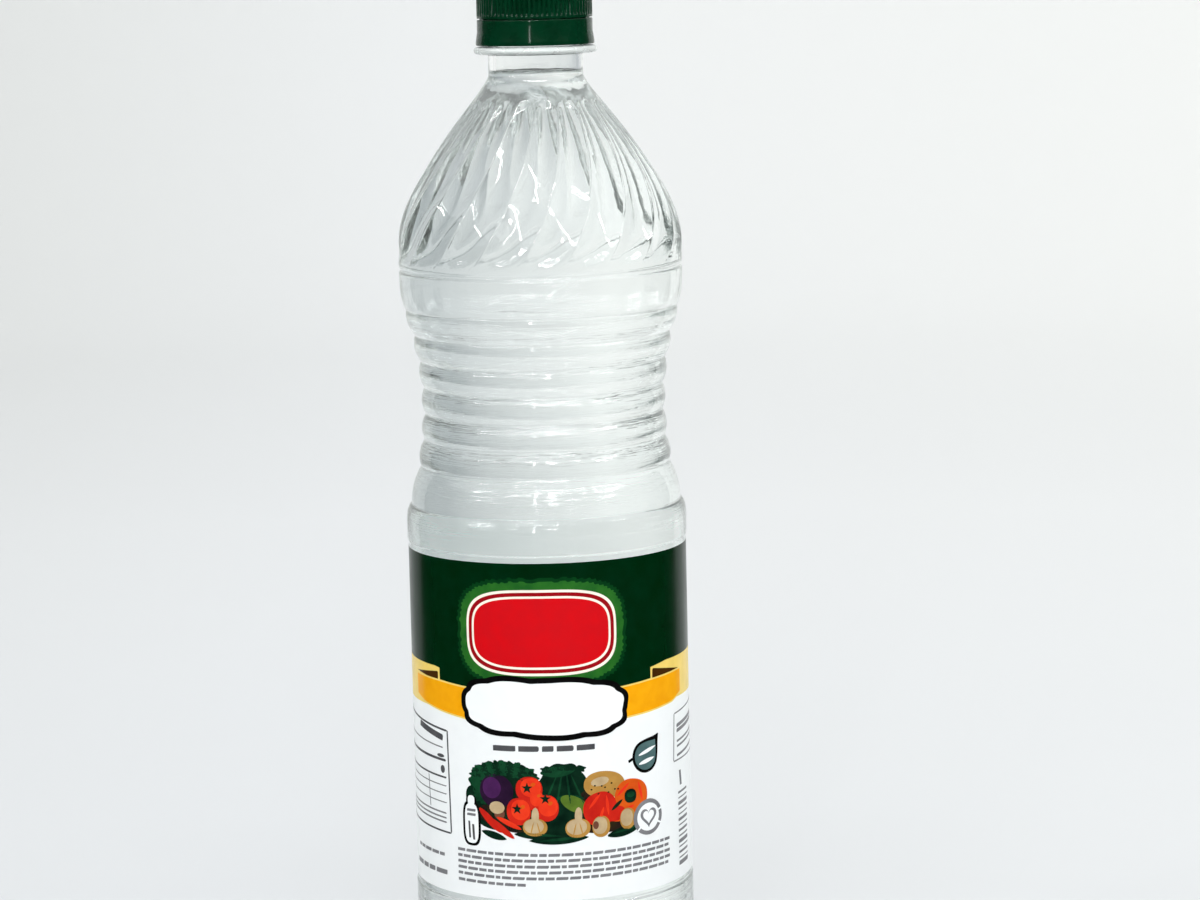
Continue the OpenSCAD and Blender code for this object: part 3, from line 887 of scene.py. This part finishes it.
for ink, outline, layer in (
    (shade, oval(-13.5, 22.0, 8.0, 3.0, 2.2, -14), 2),
    (shade, oval(14.5, 20.6, 9.0, 3.0, 2.4), 2),
    (shade, oval(9.3, 27.3, 2.6, 2.3), 2),
    (shade, oval(-11.9, 27.3, 2.4, 4.0), 3),
    (violet, oval(-15.6, 29.5, 4.9, 4.6), 4),
    (plum, oval(-16.9, 30.3, 2.7, 2.9), 5),
    (garlic, oval(-15.5, 25.0, 2.2, 1.7), 5),
    (mushroom, oval(-14.8, 23.4, 1.5, 1.7), 4),
    (ochre, oval(14.0, 30.6, 5.9, 3.7, 2.2, -6), 3),
    (garlic, oval(12.6, 31.6, 2.6, 1.2, 2, 8), 4),
    (orange, oval(22.0, 26.3, 5.3, 4.9, 2.3, -10), 4),
    (orange, oval(18.8, 23.6, 4.6, 3.3, 2, 20), 4),
    (scarlet, oval(12.6, 24.2, 4.8, 4.6, 2.2, 15), 5),
    (scarlet, oval(17.0, 22.4, 3.0, 2.0, 2, 10), 5),
    (deep, oval(21.6, 26.6, 1.9, 1.9, 2.5), 6),
    (leafy, oval(21.7, 27.0, 1.3, 0.8), 7),
    (deep, leaf(17.4, 24.7, 2.2, 0.5, 38), 6),
    (lime, leaf(5.6, 26.0, 4.2, 2.0, -28, 1.1), 4),
):
    ink.append(fill(outline, layer))
for cu, cv, half_u, half_v in (
    (-6.5, 30.3, 3.6, 3.4), (-9.4, 24.2, 3.3, 3.7), (-5.0, 27.3, 2.3, 2.8), (-2.0, 25.2, 3.3, 3.6),
):
    scarlet.append(fill(oval(cu, cv, half_u, half_v, 2.2), 4))
    tomato.append(fill(oval(cu + 0.5, cv + 0.5, half_u * 0.78, half_v * 0.76, 2.2), 5))
    orange.append(fill(oval(cu + 1.1, cv + 1.3, half_u * 0.2, half_v * 0.14, 2, 30), 6, 0.3))
for cu, cv, long, tilt in ((11.0, 26.4, 2.6, 50), (14.6, 25.0, 2.8, 96), (12.8, 22.6, 2.2, 70)):
    tomato.append(fill(leaf(cu, cv, long, 0.42, tilt), 6, 0.4))
for cu, cv, long, tilt in ((19.3, 28.6, 2.6, 40), (24.9, 27.4, 2.8, 104), (20.6, 23.2, 2.4, 20)):
    tomato.append(fill(leaf(cu, cv, long, 0.45, tilt), 5, 0.4))
for n in range(9):
    shade.append(fill(oval(10.2 + 0.95 * n, 29.6 + 1.3 * math.sin(n * 2.3), 0.3, 0.22), 5, 0.2))
for cu, cv in ((-7.0, 30.6), (-9.8, 24.9), (-2.2, 27.7)):
    deep.append(fill(star(cu, cv, 1.6, 5, 0.3), 6, 0.3))
for cu, cv, half_u, half_v in (
    (-5.1, 20.0, 3.3, 2.4), (6.3, 19.5, 3.4, 2.6), (12.7, 19.4, 2.5, 2.9), (20.6, 20.6, 2.4, 2.9),
):
    ochre.append(fill(oval(cu, cv, half_u, half_v, 2.2), 6))
    garlic.append(fill(oval(cu - 0.3, cv + 0.3, half_u * 0.8, half_v * 0.8, 2.2), 7))
for cu, cv in ((-5.0, 23.0), (6.5, 22.8)):
    garlic.append(fill(leaf(cu, cv, 2.4, 1.0, 88, 1.0), 7))
mushroom.append(fill(oval(11.2, 19.9, 0.8, 1.1), 8))
for cu, cv in ((-5.0, 19.6), (6.3, 19.1)):
    ochre.append(fill(leaf(cu - 0.9, cv, 1.9, 0.18, 76), 8))
    ochre.append(fill(leaf(cu + 0.9, cv, 1.9, 0.18, 104), 8))
for ink, outline, layer in (
    (deep, leaf(-16.6, 17.4, 3.8, 1.0, -14), 4),
    (deep, leaf(-3.8, 17.7, 7.2, 1.1, -3), 5),
    (deep, leaf(1.2, 16.6, 8.0, 1.3, 2), 5),
    (leafy, leaf(-3.0, 17.9, 5.0, 0.35, -4), 6),
    (leafy, leaf(2.0, 16.7, 6.0, 0.4, 4), 6),
    (deep, leaf(19.4, 17.3, 5.2, 1.3, 8), 5),
    (leafy, leaf(19.6, 17.6, 4.0, 0.35, 8), 6),
    (scarlet, leaf(-17.6, 21.4, 4.6, 1.0, -44, 1.2), 6),
    (scarlet, leaf(-14.6, 19.6, 4.8, 0.9, -36, 1.2), 6),
    (tomato, leaf(-12.2, 20.9, 3.8, 0.7, -24, 1.2), 6),
):
    ink.append(fill(outline, layer))


def tipped_leaf(cu, cv, size, tip_at, tip, points=90):
    """Outline of a broad leaf: a circle drawn out to a point in one direction, in degrees."""
    a = np.linspace(0, 2 * math.pi, points, endpoint=False)
    off = (a - math.radians(tip_at) + math.pi) % (2 * math.pi) - math.pi
    drawn_out = tip * np.exp(-np.abs(off) / 0.22)
    r = size * (1 + drawn_out - 0.08 * np.exp(-((np.abs(off) - 0.9) / 0.5) ** 2))
    return cu + r * np.cos(a), cv + r * np.sin(a)


# Leaf badge, bottle sign and round stamp
black.append(fill(tipped_leaf(27.2, 36.7, 4.7, 48, 0.55), 2, 0.4))
black.append(line(21.2, 35.8, 23.9, 37.0, 0.8, 2))
sage = [fill(tipped_leaf(27.2, 36.7, 3.9, 48, 0.35), 3, 0.4)]
for ink, outline, layer in (
    (white, leaf(27.6, 37.9, 3.4, 0.5, 16), 4),
    (white, leaf(27.3, 35.2, 3.0, 0.55, 12), 4),
    (black, oval(-23.4, 20.0, 2.9, 6.1, 3.4), 5),
    (black, oval(-23.4, 26.0, 1.7, 1.7, 3.0), 5),
    (white, oval(-23.4, 20.0, 2.2, 5.4, 3.4), 6),
    (white, oval(-23.4, 26.2, 1.1, 1.4, 3.0), 6),
):
    ink.append(fill(outline, layer))
for v in (23.6, 22.4):
    grey.append(line(-24.8, v, -22.0, v, 0.7, 7))
dark.append(line(-24.2, 20.6, -24.0, 16.0, 0.6, 7))
dark.append(line(-22.9, 19.8, -22.7, 15.6, 0.7, 7))
stamp_u, stamp_v = 27.6, 19.9
grey.append(fill(oval(stamp_u, stamp_v, 5.2, 4.9), 8))
white.append(fill(oval(stamp_u, stamp_v, 4.0, 3.8), 9))
grey.append(fill(heart(27.6, 20.0, 2.9), 10, 0.4))
white.append(fill(heart(27.6, 20.1, 2.0), 11, 0.4))
for at in (0.35, -0.5, -2.4):
    from_place = (stamp_u + 3.8 * math.cos(at), stamp_v + 3.6 * math.sin(at))
    to_place = (stamp_u + 5.4 * math.cos(at), stamp_v + 5.1 * math.sin(at))
    white.append(line(*from_place, *to_place, 0.5, 9))

printed("print_black", printed_film("black ink", rgb(8, 8, 8), rgb(14, 14, 14)), black)
printed("print_white", printed_film("white ink", (0.86, 0.88, 0.885), (0.84, 0.86, 0.87)), white)
for name, ink, colour, other, shapes in (
    ("grey", "grey", (128, 128, 130), (112, 112, 116), grey),
    ("dark_grey", "dark grey", (84, 84, 86), (70, 70, 74), dark),
    ("deep_green", "pod green", (14, 46, 30), (4, 24, 16), deep),
    ("leafy_green", "lettuce green", (20, 70, 42), (8, 46, 28), leafy),
    ("violet", "violet", (44, 22, 50), (30, 16, 36), violet),
    ("plum", "plum", (74, 34, 84), (58, 26, 68), plum),
    ("tomato", "tomato", (232, 62, 30), (214, 44, 24), tomato),
    ("scarlet", "scarlet", (206, 40, 24), (180, 28, 20), scarlet),
    ("orange", "orange", (214, 92, 24), (200, 74, 18), orange),
    ("ochre", "ochre", (184, 140, 70), (164, 120, 56), ochre),
    ("lime", "lime", (96, 124, 44), (70, 96, 32), lime),
    ("garlic", "garlic", (196, 174, 138), (172, 148, 112), garlic),
    ("shade", "shade", (46, 40, 18), (36, 20, 24), shade),
    ("mushroom", "mushroom", (120, 76, 58), (96, 58, 46), mushroom),
    ("sage", "sage", (66, 92, 94), (84, 112, 112), sage),
):
    printed(f"print_{name}", printed_film(f"{ink} ink", rgb(*colour), rgb(*other)), shapes)

# ---------------------------------------------------------------------------------------------
# Tamper band
# Dark green plastic ring that stays on the neck when the cap is first opened. It flares at its
# foot and hangs from the cap by eight thin bridges.
z_band, cap_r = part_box("tamper_band")[0].z / MM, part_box("cap")[1].x / MM
z_cut, z_cap = 278.7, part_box("cap")[0].z / MM
band_t, flare, hook, lip = 1.1, 0.4, 0.25, 0.2
bridge_count, bridge_half_w = 8, 1.1
band_angles = np.linspace(0, 2 * math.pi, 180, endpoint=False)
k = np.linspace(0, math.pi / 2, 4)
band_profile_r = cap_r + np.concatenate([
    [-band_t], flare - hook + hook * np.sin(k), [flare, flare - 0.05, 0, 0],
    -lip + lip * np.cos(k), [-0.7, -0.7, -band_t],
])
band_profile_z = np.concatenate([
    [z_band], z_band + hook * (1 - np.cos(k)), [z_band + 1.0, z_band + 1.3, z_band + 3.5, z_cut - 0.6],
    z_cut - lip + lip * np.sin(k), [z_cut, z_cap - 0.02, z_cap - 0.02],
])
band = surface("tamper_ring", turned(band_profile_r, band_profile_z, band_angles), loop=True)
band.data.set_sharp_from_angle(angle=math.radians(50))


def green_plastic(name):
    """Moulded dark green plastic: even colour with a faint cloud, a soft gloss and fine grain."""
    material, tree, shader = new_material(name)
    green_cloud = tinted(tree, noise(tree, 120), rgb(0, 38, 19), rgb(0, 49, 27))
    tree.links.new(green_cloud, shader.inputs["Base Color"])
    tree.links.new(between(tree, noise(tree, 400), 0.22, 0.32), shader.inputs["Roughness"])
    shader.inputs["Specular IOR Level"].default_value = 0.04
    shader.inputs["Coat Weight"].default_value = 0.5
    shader.inputs["Coat Roughness"].default_value = 0.1
    bumped(tree, shader, noise(tree, 900, 3), 0.12, 0.0001)
    return material


moulded_green = green_plastic("green plastic")
band.data.materials.append(moulded_green)
bridge_a = np.radians(360 * (np.arange(bridge_count) + 0.5) / bridge_count - 90)[:, None]
# Corners of one bridge: across it, out from the axis and up, foot corners first
corner_x = bridge_half_w * np.array([-1, 1, 1, -1, -1, 1, 1, -1])
corner_r = cap_r - np.array([1.0, 1.0, 0.25, 0.25, 1.0, 1.0, 0.25, 0.25])
corner_z = np.repeat([z_cut - 0.3, z_cap + 0.3], 4)
bridge_x = corner_r * np.cos(bridge_a) - corner_x * np.sin(bridge_a)
bridge_y = corner_r * np.sin(bridge_a) + corner_x * np.cos(bridge_a)
bridge_z = np.broadcast_to(corner_z, bridge_x.shape)
bridge_verts = np.stack([bridge_x, bridge_y, bridge_z], -1).reshape(-1, 3)
bridge_cells = np.array([
    [0, 1, 2, 3], [4, 7, 6, 5], [0, 4, 5, 1], [1, 5, 6, 2], [2, 6, 7, 3], [3, 7, 4, 0],
])
bridge_faces = (bridge_cells + 8 * np.arange(bridge_count)[:, None, None]).reshape(-1, 4).tolist()
mesh = bpy.data.meshes.new("tamper_bridges")
mesh.from_pydata((bridge_verts * MM).tolist(), [], bridge_faces)
bridges = placed("tamper_bridges", mesh)
mesh.materials.append(moulded_green)
for ring_piece in (band, bridges):
    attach(ring_piece, "root")
    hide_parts("tamper_band")

# ---------------------------------------------------------------------------------------------
# Cap
# Dark green moulded screw cap with seventy-two upright grip ribs and a rounded top edge.
cap_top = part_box("cap")[1].z / MM
grip_count, grip_depth, edge_r, cap_t = 72, 0.45, 2.0, 1.5
rib_phase = np.array([0, 0.08, 0.18, 0.3, 0.4, 0.5, 0.6, 0.7, 0.82, 0.92])
cap_phase = np.tile(rib_phase, grip_count)
cap_turn = np.repeat(np.arange(grip_count), len(rib_phase)) + cap_phase
cap_angles = cap_turn * 2 * math.pi / grip_count
k = np.linspace(0, math.pi / 2, 8)
cap_side_z = np.append(z_cap + np.array([0, 0.15, 0.45, 0.55, 0.7, 0.95, 1.4, 4]), cap_top - 4)
cap_row_r = cap_r + np.concatenate([
    [-cap_t, -0.15], np.zeros(len(cap_side_z)), -edge_r + edge_r * np.cos(k), [-6, -12],
])
cap_edge_z = cap_top - edge_r + edge_r * np.sin(k)
cap_row_z = np.concatenate([[z_cap, z_cap], cap_side_z, cap_edge_z, [cap_top, cap_top]])
fade = ease((cap_row_z - z_cap - 0.45) / 0.9) * ease((cap_top - 0.35 - cap_row_z) / 1.2)
groove = np.clip(1 - np.abs(cap_phase - 0.5) / 0.28, 0, 1) ** 0.7
cap_points = turned(cap_row_r, cap_row_z, cap_angles)
cut = 1 - grip_depth * groove[None, :] * fade[:, None] / np.maximum(cap_row_r[:, None], 1)
cap_points[:, :, :2] *= cut[:, :, None]
skirt_r = cap_r - np.array([12, cap_t, cap_t])
skirt_z = np.array([z_seal, z_seal, z_cap + 0.01])
under_points = turned(skirt_r, skirt_z, cap_angles)
cap = surface("screw_cap", np.concatenate([under_points, cap_points]), close_ends=True)
cap.data.set_sharp_from_angle(angle=math.radians(60))
cap.data.materials.append(green_plastic("cap plastic"))
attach(cap, "root")
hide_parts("cap")
